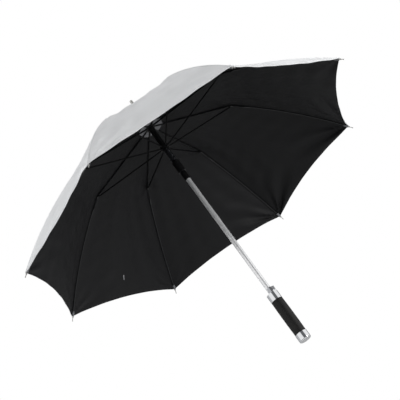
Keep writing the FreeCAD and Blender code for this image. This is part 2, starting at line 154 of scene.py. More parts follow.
seen = add(sky, "ShaderNodeMixShader", links={"Fac": ray.outputs["Is Camera Ray"]})
sky.links.new(room.outputs[0], seen.inputs[1])
sky.links.new(backdrop.outputs[0], seen.inputs[2])
add(sky, "ShaderNodeOutputWorld", links={"Surface": seen.outputs[0]})
print("wall colours", len(ROOM))

# %% [markdown]
# Three soft boxes stand round the umbrella: one above for the silver cloth, one at the side, and
# one low, which lights the black inside. Only the low one shows in mirrors, as a thin line of
# light along the shaft and the ribs. The pale floor lies well below, since the umbrella is held.

# %% Lamps and floor


def lamp(name, place, aim, power, size, mirrored=False):
    """A square soft box; mirrored says whether polished parts show it."""
    light = bpy.data.lights.new(name, "AREA")
    light.energy = power
    light.size = size
    item = bpy.data.objects.new(name, light)
    item.matrix_world = aimed(Vector(place), Vector(aim))
    item.visible_glossy = mirrored
    bpy.context.scene.collection.objects.link(item)


lamp("lamp_above", (-1.0, 0.8, 2.6), (0, 0, 0.7), 34, 1.8)
lamp("lamp_side", (0.3, -2.8, 1.3), (0, 0, 0.6), 62, 1.6)
lamp("lamp_low", (0.55, 3.0, -0.7), (0, 0, 0.6), 52, 0.7, mirrored=True)

FLOOR_HEIGHT, FLOOR_SIZE = -3.6, 300
bpy.ops.mesh.primitive_plane_add(size=FLOOR_SIZE, location=(0, 0, FLOOR_HEIGHT))
floor = bpy.context.active_object
floor.name = "floor"
floor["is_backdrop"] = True
print("floor at", FLOOR_HEIGHT, "m")

# %% [markdown]
# Every finish is a Principled shader. Real surfaces are never one colour or one gloss, so each
# takes a noise that lets its colour wander, and a fine pattern for its bump. The helpers below
# make those layers, so that a finish only adds what is its own. All sizes are real metres.

# %% Helpers for finishes
finishes = {}


def finish(name, colour, roughness, metallic=0.0, **sockets):
    """A named material with a Principled shader: returns its tree and the shader."""
    material = bpy.data.materials.new(name)
    material.use_nodes = True
    tree = material.node_tree
    shader = tree.nodes["Principled BSDF"]
    shader.inputs["Base Color"].default_value = linear(colour)
    shader.inputs["Roughness"].default_value = roughness
    shader.inputs["Metallic"].default_value = metallic
    for socket, value in sockets.items():
        shader.inputs[socket.replace("_", " ")].default_value = value
    finishes[name] = material
    return tree, shader


def mottle(tree, shader, coordinate, scale, low, high, detail=4.0):
    """Lets the colour wander between two values, as dust, dye and handling make it."""
    noise = add(tree, "ShaderNodeTexNoise", {"Scale": scale, "Detail": detail}, {"Vector": coordinate})
    ramp = add(tree, "ShaderNodeValToRGB", links={"Fac": noise.outputs["Fac"]})
    ramp.color_ramp.elements[0].position = 0.3
    ramp.color_ramp.elements[1].position = 0.7
    ramp.color_ramp.elements[0].color = linear(low)
    ramp.color_ramp.elements[1].color = linear(high)
    tree.links.new(ramp.outputs["Color"], shader.inputs["Base Color"])
    return noise


def uneven_gloss(tree, shader, noise, low, high):
    """Lets the roughness follow the same noise as the colour."""
    spread = add(tree, "ShaderNodeMapRange", {"To Min": low, "To Max": high}, {"Value": noise.outputs["Fac"]})
    tree.links.new(spread.outputs["Result"], shader.inputs["Roughness"])


def bump(tree, shader, height, distance, strength=1.0):
    """Raises the surface by height times distance, as light sees it."""
    relief = add(tree, "ShaderNodeBump", {"Distance": distance, "Strength": strength}, {"Height": height})
    tree.links.new(relief.outputs["Normal"], shader.inputs["Normal"])


def place_of(tree):
    """The coordinate in metres that moves with the piece."""
    return add(tree, "ShaderNodeTexCoord").outputs["Object"]


print("finish helpers ready")

# %% [markdown]
# Canopy cloth is plain-woven polyester. Its threads are about 0.1 mm apart, far too fine to show,
# so the weave is drawn 1.2 mm apart: two crossed waves, multiplied. They use the UV map "cloth",
# which holds the flat cloth's own metres, so that the threads run with the gore and not with the
# room. The UV map "edge" holds the distances from the rib and from the hem, where the stitches run.

# %% Weave and stitches
WEAVE_SPACING = 0.0012
WAVE_FACTOR = 20  # the wave texture multiplies its scale by this


def weave_height(tree):
    """Two crossed sets of threads in the cloth's own directions, taken from its UV map in metres."""
    across = add(tree, "ShaderNodeUVMap", {"uv_map": "cloth"}).outputs[0]
    turns = 2 * math.pi / (WAVE_FACTOR * WEAVE_SPACING)
    threads = []
    for way in ("X", "Y"):
        wave = add(tree, "ShaderNodeTexWave", {"bands_direction": way, "Scale": turns, "Distortion": 0.4,
                                               "Detail": 1.0}, {"Vector": across})
        threads.append(wave.outputs["Fac"])
    return add(tree, "ShaderNodeMath", {"operation": "MULTIPLY"}, {0: threads[0], 1: threads[1]})


STITCH_PITCH, STITCH_WIDTH, STITCH_SHARE = 0.0032, 0.0007, 0.68
SEAM_STITCH, HEM_STITCH = 0.0032, 0.0065


def stitches(tree):
    """1 on the thread of the seam beside each rib and of the hem, and 0 elsewhere."""
    edge = add(tree, "ShaderNodeUVMap", {"uv_map": "edge"})
    cloth = add(tree, "ShaderNodeUVMap", {"uv_map": "cloth"})
    near = add(tree, "ShaderNodeSeparateXYZ", links={0: edge.outputs[0]})
    run = add(tree, "ShaderNodeSeparateXYZ", links={0: cloth.outputs[0]})
    rows = []
    for way, line, along in (("X", SEAM_STITCH, "Y"), ("Y", HEM_STITCH, "X")):
        on_line = add(tree, "ShaderNodeMath", {"operation": "COMPARE", 1: line, 2: STITCH_WIDTH / 2},
                      {0: near.outputs[way]})
        steps = add(tree, "ShaderNodeMath", {"operation": "MULTIPLY", 1: 1 / STITCH_PITCH},
                    {0: run.outputs[along]})
        part = add(tree, "ShaderNodeMath", {"operation": "FRACT"}, {0: steps.outputs[0]})
        dash = add(tree, "ShaderNodeMath", {"operation": "LESS_THAN", 1: STITCH_SHARE}, {0: part.outputs[0]})
        rows.append(add(tree, "ShaderNodeMath", {"operation": "MULTIPLY"},
                        {0: on_line.outputs[0], 1: dash.outputs[0]}))
    return add(tree, "ShaderNodeMath", {"operation": "MAXIMUM"},
               {0: rows[0].outputs[0], 1: rows[1].outputs[0]})


print("threads", WEAVE_SPACING, "m apart, stitches", STITCH_PITCH, "m")

# %% [markdown]
# The cloth is coated after weaving. Outside, an aluminium pigment makes a soft silver that is
# partly metal and partly paint, so its metallic value lies low. Inside, a black coating swallows
# light. The rosette is bare grey cloth, the bartack is spun thread, and hook tape is a field of
# nylon loops, for which a cell pattern is close enough at this size.

# %% Cloth finishes


def sewn_cloth(name, colour, roughness, metallic, low, high, thread, distance, **sockets):
    """A woven cloth whose colour wanders, with its weave, seam and hem thread."""
    tree, shader = finish(name, colour, roughness, metallic, **sockets)
    noise = mottle(tree, shader, place_of(tree), 11.0, low, high)
    uneven_gloss(tree, shader, noise, roughness - 0.06, roughness + 0.08)
    mask = stitches(tree)
    dyed = shader.inputs["Base Color"].links[0].from_socket
    painted = add(tree, "ShaderNodeMix", {"data_type": "RGBA"}, {0: mask.outputs[0]})
    painted.inputs[7].default_value = linear(thread)
    tree.links.new(dyed, painted.inputs[6])
    tree.links.new(painted.outputs[2], shader.inputs["Base Color"])
    threads = weave_height(tree)
    raised = add(tree, "ShaderNodeMath", {"operation": "ADD"}, {0: threads.outputs[0], 1: mask.outputs[0]})
    bump(tree, shader, raised.outputs[0], distance)


# Woven polyester, coated with aluminium pigment in a binder.
sewn_cloth("silver_coated_polyester", "#f0f1f2", 0.42, 0.2, "#ecedee", "#f4f5f6", "#adafb2", 0.00010)
# The same cloth's inside, coated black.
sewn_cloth("black_coated_polyester", "#08080a", 0.54, 0.0, "#060608", "#0b0b0d", "#161618", 0.00012,
           Sheen_Weight=0.02, Sheen_Roughness=0.4, Specular_IOR_Level=0.24)

# Woven, dyed, uncoated.
tree, shader = finish("grey_rosette_cloth", "#727376", 0.8, Sheen_Weight=0.1)
mottle(tree, shader, place_of(tree), 60.0, "#696a6d", "#7d7e81")
bump(tree, shader, weave_height(tree).outputs[0], 0.0002)

# Spun polyester thread.
tree, shader = finish("grey_sewing_thread", "#b9babd", 0.6, Sheen_Weight=0.3)
mottle(tree, shader, place_of(tree), 400.0, "#a8a9ac", "#c8c9cc")

# Woven nylon with cut loops.
tree, shader = finish("black_hook_tape", "#121214", 0.85, Sheen_Weight=0.4)
hooks = add(tree, "ShaderNodeTexVoronoi", {"Scale": 900.0}, {"Vector": place_of(tree)})
bump(tree, shader, hooks.outputs["Distance"], 0.0004)
mottle(tree, shader, place_of(tree), 200.0, "#0d0d0f", "#1b1b1e")
print("cloth finishes", len(finishes))

# %% [markdown]
# The dark hard parts. Enamel on rolled steel is smooth with a faint orange peel. A glass-fibre
# rod is pultruded, which leaves lines along it. Moulded ABS is satin, with the mould's fine
# spark texture. Orange peel and spark texture are both a noise, at their own real sizes.

# %% Enamel, fibre and plastic
PEEL_SIZE = 0.0015
SPARK_SIZE = 0.0008
FIBRE_LINE = 0.001


def peel(tree, shader, size, distance):
    """Shallow dents of one size, as paint or a spark-eroded mould leaves them."""
    grain = add(tree, "ShaderNodeTexNoise", {"Scale": 1.0 / size, "Detail": 3.0}, {"Vector": place_of(tree)})
    bump(tree, shader, grain.outputs["Fac"], distance)


def drawn_lines(tree, shader, spacing, distance):
    """Fine scratches along Z, as drawing and polishing leave on a tube."""
    stretch = add(tree, "ShaderNodeMapping", {"Scale": (1.0, 1.0, 0.002)}, {"Vector": place_of(tree)})
    lines = add(tree, "ShaderNodeTexNoise", {"Scale": 0.3 / spacing, "Detail": 1.0},
                {"Vector": stretch.outputs["Vector"]})
    bump(tree, shader, lines.outputs["Fac"], distance)


# Rolled steel channel, dipped and stoved; the stretchers' enamel is more matt.
for name, low, high, gloss, level in (("black_enamelled_steel", "#08080a", "#121315", 0.3, 0.4),
                                      ("black_stretcher_enamel", "#050506", "#0b0b0c", 0.5, 0.2)):
    tree, shader = finish(name, low, gloss, Specular_IOR_Level=level)
    noise = mottle(tree, shader, place_of(tree), 120.0, low, high)
    uneven_gloss(tree, shader, noise, gloss - 0.06, gloss + 0.1)
    peel(tree, shader, PEEL_SIZE, 0.00006)

# Glass fibre drawn through black resin.
tree, shader = finish("pultruded_glass_fibre", "#101113", 0.3)
mottle(tree, shader, place_of(tree), 180.0, "#0c0d0e", "#18191b")
drawn_lines(tree, shader, FIBRE_LINE, 0.00005)

# Injection-moulded ABS, in black and in smoke grey.
tree, shader = finish("moulded_black_abs", "#0b0b0c", 0.4, Specular_IOR_Level=0.3)
mottle(tree, shader, place_of(tree), 90.0, "#080809", "#101011")
peel(tree, shader, SPARK_SIZE, 0.00006)

tree, shader = finish("smoke_grey_abs", "#7b7c7f", 0.3)
mottle(tree, shader, place_of(tree), 150.0, "#737477", "#838487")
peel(tree, shader, SPARK_SIZE, 0.00005)

# Firm moulded rubber with a leather-like skin.
tree, shader = finish("black_grip_rubber", "#101010", 0.52, Specular_IOR_Level=0.3)
mottle(tree, shader, place_of(tree), 60.0, "#0c0c0d", "#161513")
skin = add(tree, "ShaderNodeTexVoronoi", {"Scale": 900.0}, {"Vector": place_of(tree)})
bump(tree, shader, skin.outputs["Distance"], 0.00008, 0.5)
print("finishes", len(finishes))

# %% [markdown]
# The bright hard parts. The shaft is drawn tube under a clear anodised layer: less of a mirror
# than bare metal, so it is only partly metallic, with very fine lines along it. Chrome is a
# mirror with a trace of unevenness, nickel is softer, and wire is bright from being drawn.

# %% Metals
DRAW_LINE = 0.0006

# Drawn aluminium tube, anodised clear.
tree, shader = finish("anodised_aluminium", "#f4f5f6", 0.24, 0.58)
noise = mottle(tree, shader, place_of(tree), 40.0, "#f0f1f2", "#fafafb")
uneven_gloss(tree, shader, noise, 0.2, 0.28)
drawn_lines(tree, shader, DRAW_LINE, 0.000003)

# Chrome over polished brass.
tree, shader = finish("polished_chrome", "#e6e7e9", 0.06, 1.0)
noise = mottle(tree, shader, place_of(tree), 70.0, "#e1e2e4", "#ebecee")
uneven_gloss(tree, shader, noise, 0.04, 0.1)

# Nickel over turned steel, satin.
tree, shader = finish("nickel_plate", "#c6c5c1", 0.22, 1.0)
noise = mottle(tree, shader, place_of(tree), 150.0, "#bcbbb7", "#cfcecb")
uneven_gloss(tree, shader, noise, 0.16, 0.3)

# Drawn spring wire, oiled and bare.
tree, shader = finish("spring_steel_wire", "#b5b6b8", 0.25, 1.0)
mottle(tree, shader, place_of(tree), 300.0, "#a5a6a8", "#c2c3c5")

# Steel tube and coil, blackened in a bath.
tree, shader = finish("black_plated_steel", "#3c3d40", 0.28, 1.0)
noise = mottle(tree, shader, place_of(tree), 200.0, "#303134", "#48494c")
uneven_gloss(tree, shader, noise, 0.2, 0.36)

# Painted board for the floor, which isn't part of the umbrella.
tree, shader = finish("pale_floor", "#eceded", 0.7)
mottle(tree, shader, place_of(tree), 0.6, "#e8e9e9", "#f0f0f0")
floor.data.materials.append(finishes["pale_floor"])
print("finishes", len(finishes))

# %% [markdown]
# The CAD pieces get their finish by name. Repeated parts such as rib_outer_3 drop their number
# first, so one line of the table serves all eight. The soft CAD pieces aren't in the table: the
# cloth below takes their place.

# %% Finish for each CAD node
NODE_FINISH = {
    "shaft": "anodised_aluminium", "runner_tube": "black_plated_steel", "end_cap": "polished_chrome",
    "collar": "polished_chrome", "top_washer": "nickel_plate", "ferrule": "nickel_plate",
    "crown": "moulded_black_abs", "stop_sleeve": "moulded_black_abs", "runner_hub": "moulded_black_abs",
    "slider": "moulded_black_abs", "catch_ring": "moulded_black_abs", "grip_core": "moulded_black_abs",
    "button": "smoke_grey_abs", "button_spring": "spring_steel_wire", "runner_spring": "black_plated_steel",
    "crown_wire": "spring_steel_wire", "runner_wire": "spring_steel_wire",
    "rib_inner": "black_enamelled_steel", "stretcher": "black_stretcher_enamel",
    "rib_outer": "pultruded_glass_fibre", "rib_tip": "nickel_plate", "grip": "black_grip_rubber",
}
for name, node in frame["nodes"].items():
    wanted = NODE_FINISH.get(name) or NODE_FINISH.get(name.rsplit("_", 1)[0])
    if wanted:
        node.data.materials.clear()
        node.data.materials.append(finishes[wanted])
print("nodes in the table", len(NODE_FINISH))

# %% [markdown]
# The canopy's shape follows from the ribs. A rib is straight from the crown to its bend, and an
# arc from there to its end. Between two ribs the cloth is pulled straight across and sags a
# little, so each gore is a curved strip that is lowest along its middle.

# %% The rib's line, above which the cloth lies
RIBS = 8  # half a gore spans HALF, from a rib to the middle between two
STEP = 2 * math.pi / RIBS
HALF = STEP / 2
TIP_RADIUS, TIP_HEIGHT = 0.540, 0.513
OUTER_TURN = math.radians(17.6)


def flat_place(name):
    """A joint of rib 1 as (radius, height)."""
    place = joints[name]["pos_m"]
    return np.array([place[0], place[2]])


crown_pivot = flat_place("rib_fold_1")
bend = flat_place("outer_flex_1")
inner_line = (bend - crown_pivot) / np.linalg.norm(bend - crown_pivot)
BEND_AT = float(np.linalg.norm(bend - crown_pivot))
chord = np.array([TIP_RADIUS, TIP_HEIGHT]) - bend
first_slope = math.atan2(-chord[1], chord[0]) - OUTER_TURN / 2
arc_radius = float(np.linalg.norm(chord)) / (2 * math.sin(OUTER_TURN / 2))
arc_centre = bend - arc_radius * np.array([math.sin(first_slope), math.cos(first_slope)])
ARC_LENGTH = arc_radius * OUTER_TURN
inner_slope = math.atan2(-inner_line[1], inner_line[0])
print("rib", round(BEND_AT, 4), "+", round(ARC_LENGTH, 4))


def over_rib(along, lift):
    """Radius, height and slope above the rib at distances along it from the crown pivot."""
    along, lift = np.broadcast_arrays(np.asarray(along, float), np.asarray(lift, float))
    beyond = np.maximum(along - BEND_AT, 0.0)
    slope = first_slope + beyond / arc_radius
    arc_r = arc_centre[0] + (arc_radius + lift) * np.sin(slope)
    arc_z = arc_centre[1] + (arc_radius + lift) * np.cos(slope)
    line_r = crown_pivot[0] + along * inner_line[0] - lift * inner_line[1]
    line_z = crown_pivot[1] + along * inner_line[1] + lift * inner_line[0]
    inner = along < BEND_AT
    return np.where(inner, line_r, arc_r), np.where(inner, line_z, arc_z), np.where(inner, inner_slope, slope)


# %% [markdown]
# Real cloth is never a clean surface. It sags between ribs, puckers along the seams, pulls into
# rays at each corner where a rib's end stretches it, and keeps faint lines from being rolled up.
# Each effect is a small move along the surface's normal, made larger where the cloth is looser.

# %% One half gore: from a rib to the middle of the gore
CLOTH = 0.0005        # the sheet's thickness
CLOTH_LIFT = 0.0031   # cloth above the rib's centre line
CENTRE_LIFT = 0.0036  # more of it at the crown, where the cloth lies on the washer
CENTRE_FADE = 0.040
CLOTH_START = 0.0035  # distances along the rib
HEM_SETBACK = 0.002
HEM_RECESS = 0.020    # how far the hem draws in between two ribs
SAG = 0.009
BEND_SPREAD = 0.055   # away from the rib its bend is rounded over this distance
SEAM = 0.0045
HEM_FOLD = 0.008
CANOPY_END = BEND_AT + ARC_LENGTH - HEM_SETBACK
INNER_ROWS, OUTER_ROWS, GORE_COLUMNS = 22, 66, 26


def smooth(t):
    """0 below 0, 1 above 1, and an even S between."""
    t = np.clip(t, 0.0, 1.0)
    return t * t * (3 - 2 * t)


def spun(x, y, up, rib):
    """A point or points by rib 1, turned to lie the same way by another rib."""
    c, s = math.cos(rib * STEP), math.sin(rib * STEP)
    return np.stack([x * c - y * s, x * s + y * c, up], -1)


def half_gore(rib, side, rows, columns, lift):
    """The points of half a gore, and its width at each of them.

    rows is a grid of distances along the rib and columns one of shares, 0 on the rib and 1 in
    the gore's middle. side is 1 for the gore that follows the rib and -1 for the one before it.
    """
    reach = BEND_SPREAD * smooth(columns / 0.35) * (1 - smooth((abs(rows - BEND_AT) - 0.03) / 0.12))
    spread = [over_rib(rows + share * reach, lift) for share in (-1, -0.6, -0.2, 0.2, 0.6, 1)]
    radius, height, slope = (sum(part) / len(spread) for part in zip(*spread))
    width = radius * math.sin(HALF)
    inward = 1 - columns
    sag = SAG * (width / (TIP_RADIUS * math.sin(HALF))) ** 2 * (1 - inward**2)
    middle_slope = np.arctan(np.tan(slope) / math.cos(HALF))
    forward = radius * math.cos(HALF) - sag * np.sin(middle_slope)
    up = height - sag * np.cos(middle_slope)
    aside = inward * width
    turn = side * HALF
    x = forward * math.cos(turn) + side * aside * math.sin(turn)
    y = forward * math.sin(turn) - side * aside * math.cos(turn)
    return spun(x, y, up, rib), width


def grid_normals(points):
    """Unit normals of a grid of points, upwards."""
    down = np.gradient(points, axis=0)
    across = np.gradient(points, axis=1)
    normal = np.cross(down, across)
    normal /= np.linalg.norm(normal, axis=-1, keepdims=True)
    return normal * np.sign(normal[..., 2].sum())


print("cloth along a rib", round(CANOPY_END, 4), "m")

# %% [markdown]
# The small moves. A seam puckers between its stitches, so that wave dies away within a
# centimetre. A tight corner sends out rays, which are a wave over the angle round the corner,
# and the bend in the rib does the same more gently. Some corners are tighter than others. Rolled
# cloth keeps slanted lines, and slack cloth ripples. Their heights are below, in metres.

# %% Wrinkles
PUCKER, PUCKER_PITCH, PUCKER_REACH = 0.00045, 0.017, 0.010
RAY, RAY_REACH, RAY_COUNT = 0.0046, 0.10, 9.5
PULL, PULL_REACH, PULL_COUNT = 0.0013, 0.05, 6
ROLLED = 0.0007
SLACK, SLACK_PITCH = 0.00055, 0.061
CORNER_PULL = {0: 1.15, 3: 1.9, 4: 1.9}
BEND_PULL = {0: 2.6}


def wrinkles(rib, side, rows, columns, width):
    """How far the cloth stands off its clean shape, in metres along the normal."""
    from_rib = columns * width
    from_hem = CANOPY_END - HEM_RECESS * (1 - (1 - columns) ** 2) - rows
    loose = smooth(from_rib / 0.012) * smooth((1 - columns) / 0.3)
    phase = 1.7 * rib + 0.9 * side
    pucker = PUCKER * np.sin(rows * 2 * math.pi / PUCKER_PITCH + phase)
    pucker = pucker * np.exp(-from_rib / PUCKER_REACH) * smooth(from_rib / 0.003)
    corner = np.hypot(from_rib, from_hem)
    angle = np.arctan2(from_rib, np.maximum(from_hem, 1e-6))
    rays = RAY * np.exp(-corner / RAY_REACH) * smooth(corner / 0.04)
    rays = rays * np.sin(RAY_COUNT * angle + 0.6 * phase) * np.sin(angle)
    rays = rays * CORNER_PULL.get(rib, 0.55 + 0.4 * math.sin(2.3 * rib + 1.1 * side))
    joint = np.hypot(from_rib, (rows - BEND_AT) * 0.8)
    joint_angle = np.arctan2(from_rib, rows - BEND_AT)
    pull = PULL * np.exp(-joint / PULL_REACH) * smooth(joint / 0.015)
    pull = pull * np.sin(PULL_COUNT * joint_angle + phase) * BEND_PULL.get(rib, 1.0)
    slant = columns * 2.5 + rows * 1.6 + 0.2 * phase
    rolled = ROLLED * np.sin(2 * math.pi * slant) * smooth((rows - 0.1) / 0.2)
    slack = SLACK * np.sin(rows * 2 * math.pi / SLACK_PITCH + 5 * columns + phase) * smooth(from_rib / 0.05)
    return pucker + loose * (rays + pull + rolled + slack)


print("tightest corners at ribs", [rib + 1 for rib in CORNER_PULL])

# %% [markdown]
# Each half gore runs from the crown to the hem on one grid. Its columns crowd at the rib, where
# the seam needs them, and its rows crowd at the hem. The seam and the folded hem stand up as
# extra thickness. Normals come from the whole half gore. In the middle of a gore, where its two
# halves meet, they are made to lie in the plane between them, so no line shows there.

# %% Both sides of a half gore
SEAM_SHARES = np.array([0.0, 0.35, 0.8, 1.0, 1.35])
HEM_CROWDING = 1.15
HEM_THICK, SEAM_THICK = 0.0006, 0.0007


def canopy_half(rib, side):
    """Outer points, inner points, normals and cloth coordinates of one half gore, crown to hem."""
    inner = np.linspace(CLOTH_START, BEND_AT, INNER_ROWS + 1)
    outer = 1 - (1 - np.linspace(0, 1, OUTER_ROWS + 1)[1:]) ** HEM_CROWDING
    on_rib = np.concatenate([inner, BEND_AT + (CANOPY_END - BEND_AT) * outer])
    along, share = [], []
    for i, half_width in enumerate(over_rib(on_rib, 0)[0] * math.sin(HALF)):
        band = min(SEAM, 0.2 * half_width) / half_width
        rest = np.linspace(SEAM_SHARES[-1] * band, 1.0, GORE_COLUMNS - 4)[1:]
        shares = np.concatenate([SEAM_SHARES * band, rest])
        share.append(shares)
        if i <= INNER_ROWS:
            along.append(np.full_like(shares, inner[i]))
        else:
            end = CANOPY_END - HEM_RECESS * (1 - (1 - shares) ** 2)
            along.append(BEND_AT + (end - BEND_AT) * outer[i - INNER_ROWS - 1])
    along, share = np.array(along), np.array(share)
    lift = CLOTH_LIFT + CENTRE_LIFT * (1 - smooth((along - CLOTH_START) / CENTRE_FADE))
    base, width = half_gore(rib, side, along, share, lift)
    shaped = base + grid_normals(base) * wrinkles(rib, side, along, share, width)[..., None]
    normal = grid_normals(shaped)
    middle = rib * STEP + side * HALF
    sideways = np.array([-math.sin(middle), math.cos(middle), 0.0])
    edge = normal[:, -1] - (normal[:, -1] @ sideways)[:, None] * sideways
    normal[:, -1] = edge / np.linalg.norm(edge, axis=1, keepdims=True)
    from_hem = CANOPY_END - HEM_RECESS * (1 - (1 - share) ** 2) - along
    hem = HEM_THICK * (1 - smooth((from_hem - HEM_FOLD) / 0.0012))
    seam = SEAM_THICK * (1 - smooth((share * width - SEAM * 0.8) / (SEAM * 0.2 + 1e-6)))
    over = shaped + normal * (CLOTH / 2 + hem / 2 + seam)[..., None]
    under = shaped - normal * (CLOTH / 2 + hem / 2)[..., None]
    maps = {"cloth": np.stack([side * share * width, along], -1),
            "edge": np.stack([share * width, from_hem], -1)}
    return over, under, normal, maps


print("grid of a half gore", INNER_ROWS + 1 + OUTER_ROWS, "by", GORE_COLUMNS)

# %% [markdown]
# A sheet becomes a closed mesh: the outer grid, the inner grid and the rim between them. The
# outer faces carry one material and the inner faces the other. Its normals come from the whole
# half gore, so that neighbouring pieces shade as one cloth where they meet.

# %% Build a sheet from its two sides


def sheet_mesh(name, over, under, normal, maps, outside, inside):
    """A closed object between two grids; maps are its UV maps, outside and inside its finishes."""
    rows, columns = over.shape[:2]
    points = np.concatenate([over.reshape(-1, 3), under.reshape(-1, 3)])
    normals = np.concatenate([normal.reshape(-1, 3), -normal.reshape(-1, 3)])
    count = rows * columns
    at = np.arange(count).reshape(rows, columns)
    a, b, c, d = (g.ravel() for g in (at[:-1, :-1], at[1:, :-1], at[1:, 1:], at[:-1, 1:]))
    top = np.concatenate([np.stack([a, b, c], -1), np.stack([a, c, d], -1)])
    p, q, r = points[top[0]]
    flipped = np.dot(np.cross(q - p, r - q), normals[top[0, 0]]) < 0
    if flipped:
        top = top[:, ::-1]
    bottom = top[:, ::-1] + count
    ring = np.concatenate([at[0, :-1], at[:-1, -1], at[-1, :0:-1], at[:0:-1, 0]])
    after = np.roll(ring, -1)
    rim = np.concatenate([np.stack([ring, after, after + count], -1),
                          np.stack([ring, after + count, ring + count], -1)])
    if flipped:
        rim = rim[:, ::-1]
    faces = np.concatenate([top, bottom, rim])
    mesh = bpy.data.meshes.new(name)
    mesh.from_pydata(points.tolist(), [], faces.tolist())
    mesh.materials.append(finishes[outside])
    mesh.materials.append(finishes[inside])
    slots = np.zeros(len(faces), np.int32)
    slots[len(top):2 * len(top)] = 1
    mesh.polygons.foreach_set("material_index", slots)
    mesh.polygons.foreach_set("use_smooth", np.ones(len(faces), bool))
    for label, grid in maps.items():
        uv = np.concatenate([grid.reshape(-1, 2)] * 2)[faces.ravel()]
        mesh.uv_layers.new(name=label).data.foreach_set("uv", uv.astype(np.float32).ravel())
    p, q, r = points[rim[:, 0]], points[rim[:, 1]], points[rim[:, 2]]
    flat = np.cross(q - p, r - q)
    flat /= np.maximum(np.linalg.norm(flat, axis=1, keepdims=True), 1e-12)
    corner_normals = normals[faces.ravel()]
    corner_normals[len(top) * 6:] = np.repeat(flat, 3, axis=0)
    mesh.normals_split_custom_set(corner_normals.tolist())
    piece = bpy.data.objects.new(name, mesh)
    bpy.context.scene.collection.objects.link(piece)
    return piece


def cloth_area(points):
    """The area of a grid of points, in square metres."""
    a, b, c, d = points[:-1, :-1], points[1:, :-1], points[1:, 1:], points[:-1, 1:]
    first = np.linalg.norm(np.cross(b - a, c - a), axis=-1)
    second = np.linalg.norm(np.cross(c - a, d - a), axis=-1)
    return float((first + second).sum() / 2)


print("sheet", CLOTH, "m thick")

# %% [markdown]
# The inner part of the cloth rides on the inner rib and the rest on the outer rib.

# %% Hanging the cloth on its rib
KEEP_INNER, KEEP_OUTER, KEEP_ROSETTE = 0.14, 0.10, 0.2  # share of its width that stays when closed
rib_end = np.array([TIP_RADIUS, TIP_HEIGHT])
RIB_PART = {"rib": (crown_pivot, bend), "outer": (bend, rib_end)}


def fold_with_rib(piece, rib, part):
    """Rides on one part of a rib, and turns with it."""
    start, end = RIB_PART[part]
    line = np.array([end[0] - start[0], 0.0, end[1] - start[1]])
    line /= np.linalg.norm(line)
    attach(piece, f"{part}_{rib + 1}")
    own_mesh(piece)


print("shares kept when closed", KEEP_INNER, KEEP_OUTER, KEEP_ROSETTE)

# %% [markdown]
# The canopy is sewn from eight gores. Here each gore is two halves, and each half is cut once
# more at the rib's bend, because the cloth above and below it turns with a different part of the
# rib. All four pieces share their border points, so at rest they look like one cloth.

# %% Canopy
SIDE_NAME = {1: "left", -1: "right"}
total = 0.0
for rib in range(RIBS):
    for side in (1, -1):
        over, under, normal, maps = canopy_half(rib, side)
        for part, rows, keep in (("rib", slice(0, INNER_ROWS + 1), KEEP_INNER),
                                 ("outer", slice(INNER_ROWS, None), KEEP_OUTER)):
            name = f"canopy_{'centre' if part == 'rib' else 'skirt'}_{rib + 1}_{SIDE_NAME[side]}"
            cut_maps = {label: grid[rows] for label, grid in maps.items()}
            piece = sheet_mesh(name, over[rows], under[rows], normal[rows], cut_maps,
                               "silver_coated_polyester", "black_coated_polyester")
            fold_with_rib(piece, rib, part)
            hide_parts(f"canopy_{rib + 1}")
            area = cloth_area(over[rows])
            total += area
print("canopy area", round(total, 3), "square metres")

# %% [markdown]
# The middle of the canopy is a small disc under the top washer, where all eight gores meet. It
# is clamped, so it stays with the shaft and doesn't fold.

# %% Centre disc
DISC_INNER, DISC_OUTER = 0.0074, 0.0195
DISC_DROP = 0.0006


def disc_ring(inner, outer, rows, columns):
    """A flat ring of points that follows the eight-sided cloth at the crown."""
    angle = np.linspace(0, 2 * math.pi, columns, endpoint=False)
    radius = np.linspace(inner, outer, rows)
    middle = HALF - (angle % STEP)
    eight = math.cos(HALF) / np.cos(middle)
    share = np.linspace(0, 1, rows)[:, None]
    reach = radius[:, None] * (1 + share * (eight[None, :] - 1))
    top = over_rib(np.full(rows, CLOTH_START), CLOTH_LIFT + CENTRE_LIFT)[1][:, None]
    drop = DISC_DROP * share**2
    return np.stack([reach * np.cos(angle), reach * np.sin(angle), (top - drop) + 0 * reach], -1)


ring = disc_ring(DISC_INNER, DISC_OUTER, 6, 97)
ring = np.concatenate([ring[:, :-1], ring[:, :1]], axis=1)
upward = np.zeros_like(ring)
upward[..., 2] = 1.0
disc = sheet_mesh("canopy_disc", ring + upward * CLOTH * 0.9, ring, upward, {"cloth": ring[..., :2].copy()},
                  "silver_coated_polyester", "black_coated_polyester")
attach(disc, "frame")
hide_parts("canopy_1")
print("disc", 2 * DISC_OUTER, "m across")

# %% [markdown]
# Under the canopy a grey cloth rosette keeps the ribs' tops from rubbing through it. It is a ring
# of thin cloth. It is made like the canopy, in two halves for each rib, with a soft wave, and it
# folds with the inner ribs.

